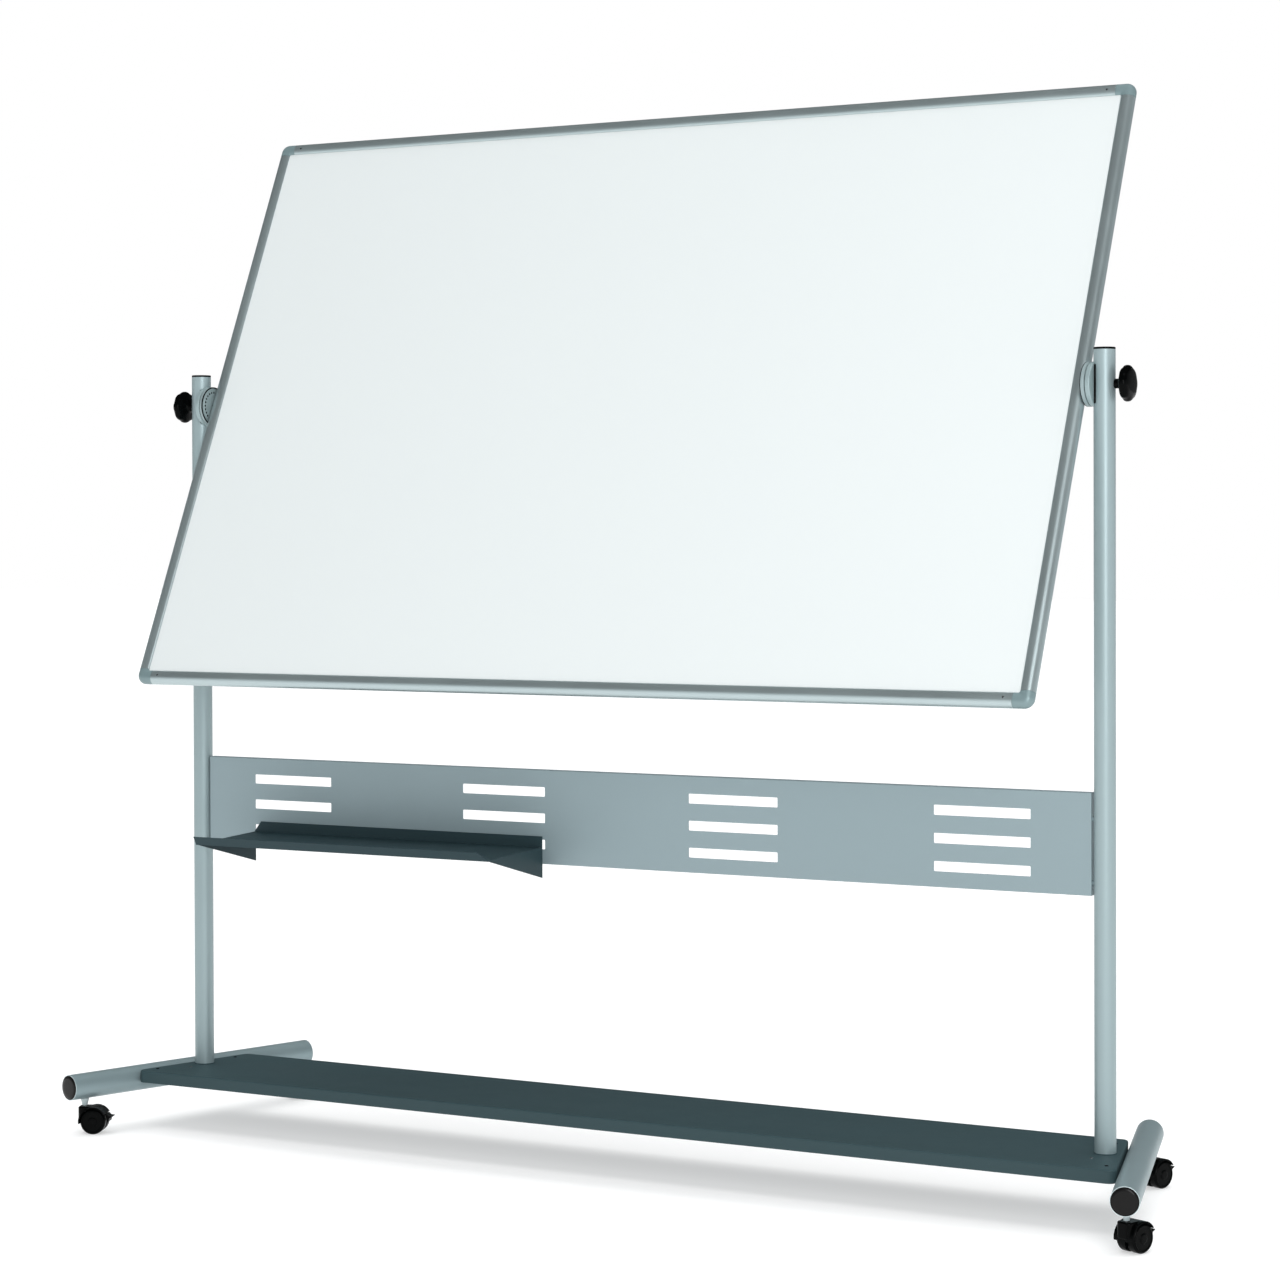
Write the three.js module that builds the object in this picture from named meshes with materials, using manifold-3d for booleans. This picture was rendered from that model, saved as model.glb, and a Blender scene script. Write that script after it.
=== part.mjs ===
// Mobile revolving whiteboard: a two-sided board clamped between two round
// posts, on a folded base plate and two round feet with braked twin-wheel casters.
// Millimetres, +Z up, +X along the board, -Y towards the person writing.
// The origin is on the floor under the middle of the whole object.
import * as THREE from 'three';
import { mergeVertices } from 'three/addons/utils/BufferGeometryUtils.js';
import Module from 'manifold-3d';

const wasm = await Module();
wasm.setup();

// ---------------------------------------------------------------- dimensions
const BOARD_W = 1876;          // board over its frame
const BOARD_H = 1200;
const BOARD_TILT = 24.2;       // degrees, top edge leaning away from the writer
const FRAME_W = 25;            // frame profile, face width
const FRAME_T = 25;            // frame profile, thickness over the round bead
const FLANGE_T = 19.2;         // thickness over the flat flanges
const GROOVE_T = 14.8;         // groove that takes the panel
const GROOVE_FLOOR = 13.5;     // from the outer edge to the bottom of the groove
const PANEL_EDGE = 15;         // from the outer edge to the panel's edge
const CORE_T = 13.0;
const SHEET_T = 0.5;
const CAP_LONG = 36;           // corner cap, along the long frame sides
const CAP_SHORT = 28;
const CAP_R = 18;

const PIVOT_Z = 1442;
const POST_X = 969.3;
const POST_R = 19;
const POST_WALL = 1.5;
const POST_TOP = 1505.5;       // over the plastic cap
const POST_CAP_T = 3.5;
const DISC_R = 39;
const BOARD_DISC_IN = 938.3;   // board-side clamp disc, from and to, in |X|
const BOARD_DISC_OUT = 946.2;
const POST_DISC_IN = 946.8;    // post-side clamp disc, saddled on the post
const POST_DISC_OUT = 960;
const BOLT_R = 4;
const BOLT_CLEAR_R = 4.5;
const BOLT_INNER = 928.5;      // where the bolt ends, inside the frame
const KNOB_HUB_IN = 988.7;
const KNOB_HEAD_IN = 1003;
const KNOB_HEAD_OUT = 1021.5;
const KNOB_R = 31.5;
const KNOB_LOBES = 8;
const KNOB_HUB_R = 8.5;

const PLATE_TOP = 114.4;       // base plate, top face
const PLATE_T = 2.5;
const PLATE_FLANGE = 23.5;     // height of its folded edges
const PLATE_HALF_D = 132;
const PLATE_CORNER_R = 14;

const FOOT_R = 25;
const FOOT_WALL = 2;
const FOOT_Z = 93.7;           // axis height
const FOOT_X = 1027;           // where the axis crosses the plane of the posts
const FOOT_SPLAY = 16.35;      // degrees; the front ends stand wider apart
const FOOT_FRONT = 270;        // lengths from the plane of the posts
const FOOT_BACK = 316;
const FOOT_CAP_T = 3;
const STEM_INSET = 36;         // caster stem, from the foot's cut end

const PANEL_HALF = 947.1;
const PANEL_FRONT = -7.6;
const PANEL_SHEET = 1.8;
const PANEL_DEPTH = 15.6;
const PANEL_TOP = 737.2;
const PANEL_BOTTOM = 558.4;
const SLOT_X = [-741.8, -248.8, 246.4, 741.8];
const SLOT_W = 184.5;
const SLOT_H = 18.2;
const SLOT_TOPS = [704.5, 654.5, 604.6];
const BOSS_Z = [691, 580.5];

const TRAY_X0 = -834;
const TRAY_X1 = -162;
const TRAY_T = 1.6;
const TRAY_BACK = -7.9;
const TRAY_FLOOR_BACK = 589.2; // underside of the tray's floor at the panel
const TRAY_FLOOR_FRONT = 581;
const TRAY_FRONT = -199;
const TRAY_LIP_Y = -208.5;
const TRAY_LIP_Z = 597.6;
const TRAY_UPSTAND = 611;
const TRAY_BRACKET = 532;
const TAB_ANGLE = 35;          // tabs slope down behind the panel
const TABS = [[-828, -798], [-690, -660], [-338, -308], [-198, -168]];

const WHEEL_R = 25;
const WHEEL_IN = 4.2;          // twin wheels, from and to, across the caster
const WHEEL_OUT = 21;
const AXLE_R = 3;
const TRAIL = 20;              // axle behind the swivel axis
const HOOD_R = 29;
const HOOD_GAP_R = 26.4;
const HOOD_HALF_W = 21.5;
const HOOD_TOP = 54;
const STEM_R = 4;
const SOCKET_R = 8;
const CASTERS = {              // side, end, heading of the trailing wheels in degrees
  left_front: [-1, -1, 24],
  left_rear: [-1, 1, 50],
  right_front: [1, -1, 69],
  right_rear: [1, 1, 69],
};

const rad = THREE.MathUtils.degToRad;
const COS_SPLAY = Math.cos(rad(FOOT_SPLAY));
const SIN_SPLAY = Math.sin(rad(FOOT_SPLAY));
const CENTRE_Y = (FOOT_BACK - FOOT_FRONT) * COS_SPLAY / 2;

// ------------------------------------------------------------------ materials
const mat = (color, roughness, metalness) =>
  new THREE.MeshStandardMaterial({ color, roughness, metalness });
const silver = mat(0x9fb0b4, 0.42, 0.55);
const slate = mat(0x3b4b51, 0.55, 0.3);
const aluminium = mat(0xb6c2c4, 0.32, 0.85);
const white = mat(0xeef4f3, 0.16, 0.05);
const greyPlastic = mat(0xa9b8ba, 0.5, 0);
const blackPlastic = mat(0x0d0d0e, 0.35, 0);
const capPlastic = mat(0x2b2a2a, 0.45, 0);
const steel = mat(0x9aa0a3, 0.3, 0.95);
const boardCore = mat(0xb59a72, 0.9, 0);

// -------------------------------------------------------------------- helpers
function solid(geometry) {
  const g = geometry.clone();
  for (const key of Object.keys(g.attributes)) if (key !== 'position') g.deleteAttribute(key);
  const m = mergeVertices(g, 1e-4);
  const vertProperties = new Float32Array(m.attributes.position.array);
  const index = new Uint32Array(m.index.array);
  // leave out triangles that the merge has closed up
  const kept = [];
  for (let i = 0; i < index.length; i += 3) {
    const [a, b, c] = [index[i], index[i + 1], index[i + 2]];
    if (a !== b && b !== c && c !== a) kept.push(a, b, c);
  }
  let volume = 0;
  const p = (i) => new THREE.Vector3().fromArray(vertProperties, i * 3);
  for (let i = 0; i < kept.length; i += 3) volume += p(kept[i]).dot(p(kept[i + 1]).cross(p(kept[i + 2])));
  if (volume < 0) for (let i = 0; i < kept.length; i += 3) [kept[i + 1], kept[i + 2]] = [kept[i + 2], kept[i + 1]];
  return new wasm.Manifold(new wasm.Mesh({ numProp: 3, vertProperties, triVerts: new Uint32Array(kept) }));
}

function geometryOf(manifold) {
  const mesh = manifold.getMesh();
  const g = new THREE.BufferGeometry();
  g.setAttribute('position', new THREE.BufferAttribute(new Float32Array(mesh.vertProperties), 3));
  g.setIndex(new THREE.BufferAttribute(new Uint32Array(mesh.triVerts), 1));
  g.computeVertexNormals();
  return g;
}

const box = (x0, x1, y0, y1, z0, z1) =>
  solid(new THREE.BoxGeometry(x1 - x0, y1 - y0, z1 - z0).translate((x0 + x1) / 2, (y0 + y1) / 2, (z0 + z1) / 2));

const cylZ = (r, z0, z1, seg = 32, x = 0, y = 0) =>
  solid(new THREE.CylinderGeometry(r, r, z1 - z0, seg).rotateX(Math.PI / 2).translate(x, y, (z0 + z1) / 2));
const cylY = (r, y0, y1, seg = 32, x = 0, z = 0) =>
  solid(new THREE.CylinderGeometry(r, r, y1 - y0, seg).translate(x, (y0 + y1) / 2, z));
const cylX = (r, x0, x1, seg = 32, y = 0, z = 0) =>
  solid(new THREE.CylinderGeometry(r, r, x1 - x0, seg).rotateZ(-Math.PI / 2).translate((x0 + x1) / 2, y, z));

// a closed profile of [radius, height] pairs turned about Z, or about Y
const turned = (profile, seg) => {
  const pts = profile.map(([r, h]) => new THREE.Vector2(r, h));
  pts.push(pts[0].clone());
  return new THREE.LatheGeometry(pts, seg);
};
const turnedZ = (profile, seg = 24) => solid(turned(profile, seg).rotateX(Math.PI / 2));
const turnedY = (profile, seg = 24) => solid(turned(profile, seg));

// a polygon in the Y-Z plane, extruded along X
const prismX = (yz, x0, x1, holes = []) => {
  const shape = new THREE.Shape(yz.map(([y, z]) => new THREE.Vector2(y, z)));
  for (const h of holes) shape.holes.push(new THREE.Path(h.map(([y, z]) => new THREE.Vector2(y, z))));
  const g = new THREE.ExtrudeGeometry(shape, { depth: x1 - x0, bevelEnabled: false });
  // (shape x, shape y, depth) -> (Y, Z, X)
  g.applyMatrix4(new THREE.Matrix4().set(0, 0, 1, x0, 1, 0, 0, 0, 0, 1, 0, 0, 0, 0, 0, 1));
  return solid(g);
};
// a polygon in the X-Z plane, extruded along Y
const prismY = (xz, y0, y1, holes = [], bevel = null) => {
  const shape = new THREE.Shape(xz.map(([x, z]) => new THREE.Vector2(x, z)));
  for (const h of holes) shape.holes.push(new THREE.Path(h.map(([x, z]) => new THREE.Vector2(x, z))));
  const options = bevel
    ? { depth: y1 - y0 - 2 * bevel, bevelEnabled: true, bevelSize: bevel, bevelThickness: bevel, bevelSegments: 2, bevelOffset: -bevel }
    : { depth: y1 - y0, bevelEnabled: false };
  const g = new THREE.ExtrudeGeometry(shape, options);
  // (shape x, shape y, depth) -> (X, Z, -Y)
  g.applyMatrix4(new THREE.Matrix4().set(1, 0, 0, 0, 0, 0, -1, y1 - (bevel || 0), 0, 1, 0, 0, 0, 0, 0, 1));
  return solid(g);
};
// a polygon in the X-Y plane, extruded along Z
const prismZ = (xy, z0, z1) => {
  const shape = new THREE.Shape(xy.map(([x, y]) => new THREE.Vector2(x, y)));
  return solid(new THREE.ExtrudeGeometry(shape, { depth: z1 - z0, bevelEnabled: false }).translate(0, 0, z0));
};

const arc = (cx, cy, r, a0, a1, n) =>
  Array.from({ length: n + 1 }, (_, i) => {
    const a = rad(a0 + (a1 - a0) * i / n);
    return [cx + r * Math.cos(a), cy + r * Math.sin(a)];
  });

const root = new THREE.Group();
root.position.set(0, -CENTRE_Y, 0);
const put = (parent, name, manifold, material) => {
  const mesh = new THREE.Mesh(geometryOf(manifold), material);
  mesh.name = name;
  parent.add(mesh);
  return mesh;
};
const mirrored = (manifold) => manifold.mirror([1, 0, 0]);

// ---------------------------------------------------------------------- posts
for (const [side, s] of [['left', -1], ['right', 1]]) {
  const x = s * POST_X;
  const post = cylZ(POST_R, PLATE_TOP + 0.3, POST_TOP - POST_CAP_T - 0.3, 36, x)
    .subtract(cylZ(POST_R - POST_WALL, PLATE_TOP - 1, POST_TOP, 36, x))
    .subtract(cylX(BOLT_CLEAR_R, x - 30, x + 30, 16, 0, PIVOT_Z));
  put(root, `${side}_post`, post, silver);

  const cap = turnedZ([
    [0, POST_TOP - 15], [POST_R - POST_WALL - 0.5, POST_TOP - 15], [POST_R - POST_WALL - 0.5, POST_TOP - POST_CAP_T],
    [POST_R, POST_TOP - POST_CAP_T], [POST_R, POST_TOP - 1.2], [POST_R - 1.4, POST_TOP], [0, POST_TOP],
  ], 32).translate([x, 0, 0]);
  put(root, `${side}_post_cap`, cap, blackPlastic);

  // post-side clamp disc: a round block hollowed to sit on the post
  let disc = cylX(DISC_R, POST_DISC_IN, POST_DISC_OUT, 40, 0, PIVOT_Z)
    .subtract(cylZ(POST_R + 0.3, PIVOT_Z - 60, PIVOT_Z + 60, 36, POST_X))
    .subtract(cylX(BOLT_CLEAR_R, POST_DISC_IN - 2, POST_DISC_OUT + 2, 16, 0, PIVOT_Z));
  if (s < 0) disc = mirrored(disc);
  put(root, `${side}_post_disc`, disc, silver);
}

// ---------------------------------------------------------------- cross panel
{
  let panel = box(-PANEL_HALF, PANEL_HALF, PANEL_FRONT, PANEL_FRONT + PANEL_DEPTH, PANEL_BOTTOM, PANEL_TOP)
    .subtract(box(-PANEL_HALF + PANEL_SHEET, PANEL_HALF - PANEL_SHEET, PANEL_FRONT + PANEL_SHEET,
      PANEL_FRONT + PANEL_DEPTH + 1, PANEL_BOTTOM + PANEL_SHEET, PANEL_TOP - PANEL_SHEET));
  for (const x of SLOT_X) for (const z of SLOT_TOPS)
    panel = panel.subtract(box(x - SLOT_W / 2, x + SLOT_W / 2, PANEL_FRONT - 1, PANEL_FRONT + PANEL_SHEET + 1, z - SLOT_H, z));
  // bosses that space the panel off the posts
  for (const s of [-1, 1]) for (const z of BOSS_Z) {
    const a = PANEL_HALF - 1, b = POST_X - POST_R - 0.3;
    panel = panel.add(s > 0 ? cylX(4, a, b, 12, 0, z) : cylX(4, -b, -a, 12, 0, z));
  }
  put(root, 'cross_panel', panel, silver);
}

// ---------------------------------------------------------------- marker tray
{
  const t = TRAY_T;
  const floor = [[TRAY_BACK, TRAY_FLOOR_BACK], [TRAY_BACK, TRAY_FLOOR_BACK + t], [TRAY_FRONT, TRAY_FLOOR_FRONT + t], [TRAY_FRONT, TRAY_FLOOR_FRONT]];
  let tray = prismX(floor, TRAY_X0, TRAY_X1);
  // upstand against the panel, with one clipped corner
  tray = tray.add(prismY([[TRAY_X0, TRAY_FLOOR_BACK], [TRAY_X1, TRAY_FLOOR_BACK], [TRAY_X1, TRAY_UPSTAND],
    [TRAY_X0 + 15, TRAY_UPSTAND], [TRAY_X0, TRAY_FLOOR_BACK + 3]], TRAY_BACK - t, TRAY_BACK));
  // front lip, leaning forwards
  const lip = prismX([[TRAY_FRONT + t, TRAY_FLOOR_FRONT], [TRAY_FRONT + t, TRAY_FLOOR_FRONT + t], [TRAY_LIP_Y + t, TRAY_LIP_Z],
    [TRAY_LIP_Y, TRAY_LIP_Z], [TRAY_FRONT - 0.6, TRAY_FLOOR_FRONT]], TRAY_X0, TRAY_X1)
    .subtract(prismY([[TRAY_X1, TRAY_FLOOR_FRONT + 2], [TRAY_X1 + 1, TRAY_LIP_Z + 1], [TRAY_X1 - 20, TRAY_LIP_Z + 1]], TRAY_LIP_Y - 5, TRAY_FRONT + 5));
  tray = tray.add(lip);
  // triangular brackets folded down at the two ends
  const bracket = [[TRAY_BACK, TRAY_FLOOR_BACK + 0.5], [TRAY_FRONT, TRAY_FLOOR_FRONT + 0.5], [TRAY_BACK, TRAY_BRACKET]];
  tray = tray.add(prismX(bracket, TRAY_X0, TRAY_X0 + t)).add(prismX(bracket, TRAY_X1 - t, TRAY_X1));
  // tabs that reach through the slots and slope down behind the panel
  const c = Math.cos(rad(TAB_ANGLE)), s = Math.sin(rad(TAB_ANGLE));
  const y0 = TRAY_BACK - t, z0 = TRAY_FLOOR_BACK + t + 0.2, len = 17;
  const tab = [[y0, z0 - t / c], [y0 + len * c, z0 - t / c - len * s], [y0 + len * c, z0 - len * s], [y0, z0]];
  for (const [a, b] of TABS) tray = tray.add(prismX(tab, a, b));
  put(root, 'marker_tray', tray, slate);
}

// ----------------------------------------------------------------- base plate
{
  const endX = (y, gap) => FOOT_X - y * Math.tan(rad(FOOT_SPLAY)) - (FOOT_R + gap) / COS_SPLAY;
  // outline of the folded plate, its corners rounded
  const outline = (inset) => {
    const d = PLATE_HALF_D - inset;
    const xf = endX(-d, 0.3) - inset / COS_SPLAY, xb = endX(d, 0.3) - inset / COS_SPLAY;
    const corners = [[-xf, -d], [xf, -d], [xb, d], [-xb, d]];
    const r = Math.max(PLATE_CORNER_R - inset, 2);
    const pts = [];
    corners.forEach((p, i) => {
      const a = corners[(i + 3) % 4], b = corners[(i + 1) % 4];
      const P = new THREE.Vector2(...p), A = new THREE.Vector2(...a).sub(P).normalize(), B = new THREE.Vector2(...b).sub(P).normalize();
      const half = Math.acos(A.dot(B)) / 2, reach = r / Math.tan(half);
      const centre = P.clone().add(A.clone().add(B).normalize().multiplyScalar(r / Math.sin(half)));
      const s = P.clone().addScaledVector(A, reach).sub(centre), e = P.clone().addScaledVector(B, reach).sub(centre);
      const a0 = s.angle(); let da = e.angle() - a0;
      while (da < 0) da += 2 * Math.PI;
      for (let k = 0; k <= 4; k++) pts.push([centre.x + r * Math.cos(a0 + da * k / 4), centre.y + r * Math.sin(a0 + da * k / 4)]);
    });
    return pts;
  };
  const plate = prismZ(outline(0), PLATE_TOP - PLATE_FLANGE, PLATE_TOP)
    .subtract(prismZ(outline(PLATE_T), PLATE_TOP - PLATE_FLANGE - 1, PLATE_TOP - PLATE_T));
  put(root, 'base_plate', plate, slate);
}

// ----------------------------------------------------- feet, caps and casters
function casterParts() {
  // local frame: swivel axis is Z through the origin, wheels trail along +X, floor at z = 0
  const axleZ = WHEEL_R;
  const stem = turnedZ([[0, 42.4], [STEM_R, 42.4], [STEM_R, 79], [STEM_R - 1, 80], [0, 80]], 16);
  const axle = cylY(AXLE_R, -WHEEL_OUT + 1, WHEEL_OUT - 1, 16, TRAIL, axleZ);
  const wheel = (s) => turnedY([
    [AXLE_R + 0.3, s * WHEEL_IN], [WHEEL_R - 1.5, s * WHEEL_IN], [WHEEL_R, s * (WHEEL_IN + 1.5)],
    [WHEEL_R, s * (WHEEL_OUT - 4)], [WHEEL_R - 3.5, s * (WHEEL_OUT - 0.6)], [WHEEL_R - 6, s * WHEEL_OUT], [AXLE_R + 0.3, s * WHEEL_OUT],
  ], 28).translate([TRAIL, 0, axleZ]);

  // hood: arch over the wheels, centre web that holds the axle, and stem boss
  let hood = cylY(HOOD_R, -HOOD_HALF_W, HOOD_HALF_W, 40, TRAIL, axleZ)
    .add(box(-11, TRAIL, -15, 15, axleZ, HOOD_TOP));
  for (const s of [-1, 1]) {
    const [a, b] = s > 0 ? [3.7, HOOD_HALF_W + 1] : [-HOOD_HALF_W - 1, -3.7];
    hood = hood.subtract(cylY(HOOD_GAP_R, a, b, 36, TRAIL, axleZ));
  }
  // the hood stops above the floor, lower at the stem side than at the lever
  hood = hood.subtract(prismY([[-40, -10], [70, -10], [70, 40.5], [42, 40.5], [30, 16], [-12, 22], [-40, 22]], -40, -3.7));
  hood = hood.subtract(prismY([[-40, -10], [70, -10], [70, 40.5], [42, 40.5], [30, 16], [-12, 22], [-40, 22]], 3.7, 40));
  hood = hood.subtract(prismY([[-40, -10], [70, -10], [70, 40.5], [42, 40.5], [40, 12], [-12, 12], [-40, 22]], -4, 4));
  hood = hood.subtract(cylZ(STEM_R + 0.3, 41.5, 60, 16)).subtract(cylY(AXLE_R + 0.3, -10, 10, 16, TRAIL, axleZ));

  // brake lever: hangs behind the wheels under the hood's rear edge, tip out
  const lever = prismY([
    [43.6, 40.0], [46.6, 39.6], [50.2, 35.6], [57.4, 34.8], [57.0, 33.2], [51.8, 30.6], [50.6, 24.5], [48.2, 24.5], [47.9, 31], [45.6, 36.6], [43.2, 38.6],
  ], -12, 12);
  return { stem, axle, hood, lever, wheel_inner: wheel(-1), wheel_outer: wheel(1) };
}

for (const [side, s] of [['left', -1], ['right', 1]]) {
  const foot = new THREE.Group();
  foot.position.set(s * FOOT_X, 0, FOOT_Z);
  foot.rotation.z = s * rad(FOOT_SPLAY);
  root.add(foot);
  // local: the foot lies along Y
  let tube = cylY(FOOT_R, -FOOT_FRONT, FOOT_BACK, 36).subtract(cylY(FOOT_R - FOOT_WALL, -FOOT_FRONT - 1, FOOT_BACK + 1, 36));
  for (const y of [-FOOT_FRONT + STEM_INSET, FOOT_BACK - STEM_INSET]) tube = tube.subtract(cylZ(7, -40, 0, 20, 0, y));
  put(foot, `${side}_foot`, tube, silver);

  const capProfile = (y, dir) => turnedY([
    [0, y - dir * 14], [FOOT_R - FOOT_WALL - 0.5, y - dir * 14], [FOOT_R - FOOT_WALL - 0.5, y + dir * 0.3],
    [FOOT_R, y + dir * 0.3], [FOOT_R, y + dir * 1.8], [FOOT_R - 2, y + dir * FOOT_CAP_T], [0, y + dir * FOOT_CAP_T],
  ], 32);
  put(foot, `${side}_front_foot_cap`, capProfile(-FOOT_FRONT, -1), capPlastic);
  put(foot, `${side}_rear_foot_cap`, capProfile(FOOT_BACK, 1), capPlastic);

  for (const [end, y] of [['front', -FOOT_FRONT + STEM_INSET], ['rear', FOOT_BACK - STEM_INSET]]) {
    // tapered socket under the foot, its spigot inside the tube
    const b = -FOOT_R - 0.3;
    const socket = turnedZ([
      [STEM_R + 0.3, 55 - FOOT_Z], [5.2, 55 - FOOT_Z], [SOCKET_R, b - 1.5], [SOCKET_R, b], [6.6, b], [6.6, b + 14], [STEM_R + 0.3, b + 14],
    ], 20).translate([0, y, 0]);
    put(foot, `${side}_${end}_socket`, socket, greyPlastic);
  }
}

for (const [name, [s, e, heading]] of Object.entries(CASTERS)) {
  const along = e < 0 ? -(FOOT_FRONT - STEM_INSET) : FOOT_BACK - STEM_INSET;
  const caster = new THREE.Group();
  caster.position.set(s * (FOOT_X - along * SIN_SPLAY), along * COS_SPLAY, 0);
  caster.rotation.z = rad(heading);
  root.add(caster);
  const p = casterParts();
  put(caster, `${name}_caster_stem`, p.stem, steel);
  put(caster, `${name}_caster_hood`, p.hood, blackPlastic);
  put(caster, `${name}_caster_axle`, p.axle, steel);
  put(caster, `${name}_wheel_a`, p.wheel_inner, blackPlastic);
  put(caster, `${name}_wheel_b`, p.wheel_outer, blackPlastic);
  put(caster, `${name}_brake_lever`, p.lever, blackPlastic);
}

// ---------------------------------------------------------------------- board
const board = new THREE.Group();
board.position.set(0, 0, PIVOT_Z);
board.rotation.x = -rad(BOARD_TILT);
root.add(board);
{
  const W = BOARD_W / 2, H = BOARD_H / 2;
  const pw = W - PANEL_EDGE, ph = H - PANEL_EDGE;
  put(board, 'board_core', box(-pw, pw, -CORE_T / 2, CORE_T / 2, -ph, ph), boardCore);
  const s0 = CORE_T / 2 + 0.3, s1 = s0 + SHEET_T;
  put(board, 'front_writing_surface', box(-pw, pw, -s1, -s0, -ph, ph), white);
  put(board, 'back_writing_surface', box(-pw, pw, s0, s1, -ph, ph), white);

  // frame profile: distance in from the outer edge, thickness
  const R = FRAME_T / 2, F = FLANGE_T / 2, G = GROOVE_T / 2;
  const section = [
    ...arc(R, 0, R, 90, 270, 14),
    [R + 0.8, -F], [FRAME_W, -F], [FRAME_W, -G], [GROOVE_FLOOR, -G], [GROOVE_FLOOR, G], [FRAME_W, G], [FRAME_W, F], [R + 0.8, F],
  ];
  const hollow = [...arc(R, 0, R - 2.4, 100, 260, 10)];
  const profile = (len0, len1, place) => {
    const shape = new THREE.Shape(section.map(([a, b]) => new THREE.Vector2(a, b)));
    shape.holes.push(new THREE.Path(hollow.map(([a, b]) => new THREE.Vector2(a, b))));
    const g = new THREE.ExtrudeGeometry(shape, { depth: len1 - len0, bevelEnabled: false });
    g.translate(0, 0, len0);
    g.applyMatrix4(place);
    return solid(g);
  };
  const m4 = (...v) => new THREE.Matrix4().set(...v, 0, 0, 0, 1);
  const lx = W - CAP_LONG - 0.3, lz = H - CAP_SHORT - 0.3;
  // (in from the edge, thickness, length) to (X, Y, Z)
  put(board, 'frame_top', profile(-lx, lx, m4(0, 0, 1, 0, 0, 1, 0, 0, -1, 0, 0, H)), aluminium);
  put(board, 'frame_bottom', profile(-lx, lx, m4(0, 0, 1, 0, 0, 1, 0, 0, 1, 0, 0, -H)), aluminium);
  const right = profile(-lz, lz, m4(-1, 0, 0, W, 0, 1, 0, 0, 0, 0, 1, 0))
    .subtract(cylX(BOLT_CLEAR_R, W - GROOVE_FLOOR - 1, W + 2, 16));
  put(board, 'frame_right', right, aluminium);
  put(board, 'frame_left', mirrored(right), aluminium);

  // corner cap at top right, then mirrored into the other corners
  const r = CAP_R;
  const outline = [[r, 0], [CAP_LONG, 0], [CAP_LONG, FRAME_W], [FRAME_W, FRAME_W], [FRAME_W, CAP_SHORT], [0, CAP_SHORT], ...arc(r, r, r, 180, 270, 8).slice(0, -1)]
    .map(([a, b]) => [W - a, H - b]);
  const cap = prismY(outline, -FRAME_T / 2, FRAME_T / 2)
    .subtract(box(-W, W - PANEL_EDGE + 0.4, -GROOVE_T / 2, GROOVE_T / 2, -H, H - PANEL_EDGE + 0.4));
  put(board, 'corner_cap_top_right', cap, greyPlastic);
  put(board, 'corner_cap_top_left', cap.mirror([1, 0, 0]), greyPlastic);
  put(board, 'corner_cap_bottom_right', cap.mirror([0, 0, 1]), greyPlastic);
  put(board, 'corner_cap_bottom_left', cap.mirror([1, 0, 0]).mirror([0, 0, 1]), greyPlastic);

  const disc = cylX(DISC_R, BOARD_DISC_IN, BOARD_DISC_OUT, 40).subtract(cylX(BOLT_CLEAR_R, BOARD_DISC_IN - 2, BOARD_DISC_OUT + 2, 16));
  put(board, 'right_board_disc', disc, aluminium);
  put(board, 'left_board_disc', mirrored(disc), aluminium);
}

// ---------------------------------------------------------------- clamp knobs
{
  const n = KNOB_LOBES * 6;
  const lobed = Array.from({ length: n }, (_, i) => {
    const a = 2 * Math.PI * i / n, q = KNOB_R - 1.3 + 1.3 * Math.cos(KNOB_LOBES * a);
    return new THREE.Vector2(q * Math.cos(a), q * Math.sin(a));
  });
  const b = 5;
  const g = new THREE.ExtrudeGeometry(new THREE.Shape(lobed), {
    depth: KNOB_HEAD_OUT - KNOB_HEAD_IN - 2 * b, bevelEnabled: true, bevelSize: b, bevelThickness: b, bevelOffset: -b, bevelSegments: 2,
  });
  g.translate(0, 0, KNOB_HEAD_IN + b).applyMatrix4(new THREE.Matrix4().set(0, 0, 1, 0, 1, 0, 0, 0, 0, 1, 0, 0, 0, 0, 0, 1));
  const knob = solid(g).add(cylX(KNOB_HUB_R, KNOB_HUB_IN, KNOB_HEAD_IN + 2, 24))
    .subtract(cylX(BOLT_R + 0.3, KNOB_HUB_IN - 1, KNOB_HEAD_OUT - 9, 16)).translate([0, 0, PIVOT_Z]);
  const bolt = cylX(BOLT_R, BOLT_INNER, KNOB_HEAD_OUT - 9.4, 16, 0, PIVOT_Z);
  put(root, 'right_knob', knob, blackPlastic);
  put(root, 'left_knob', mirrored(knob), blackPlastic);
  put(root, 'right_pivot_bolt', bolt, steel);
  put(root, 'left_pivot_bolt', mirrored(bolt), steel);
}

export default root;
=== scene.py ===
"""Mobile revolving whiteboard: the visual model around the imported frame. Metres, +Z up."""
import math
import bmesh
import bpy
from mathutils import Matrix, Vector


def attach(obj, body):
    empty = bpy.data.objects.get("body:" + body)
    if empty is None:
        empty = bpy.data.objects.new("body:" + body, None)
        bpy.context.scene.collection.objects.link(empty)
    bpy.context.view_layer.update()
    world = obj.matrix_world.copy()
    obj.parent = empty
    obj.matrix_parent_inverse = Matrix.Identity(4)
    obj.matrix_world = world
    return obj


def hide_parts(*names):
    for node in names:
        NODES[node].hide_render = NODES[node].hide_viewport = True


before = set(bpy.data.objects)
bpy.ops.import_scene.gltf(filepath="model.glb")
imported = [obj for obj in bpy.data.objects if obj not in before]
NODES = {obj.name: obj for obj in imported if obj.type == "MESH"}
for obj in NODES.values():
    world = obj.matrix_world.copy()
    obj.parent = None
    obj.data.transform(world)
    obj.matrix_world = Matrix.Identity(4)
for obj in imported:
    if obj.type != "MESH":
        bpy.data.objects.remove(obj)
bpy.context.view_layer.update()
scene = bpy.context.scene
MM = 0.001

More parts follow.
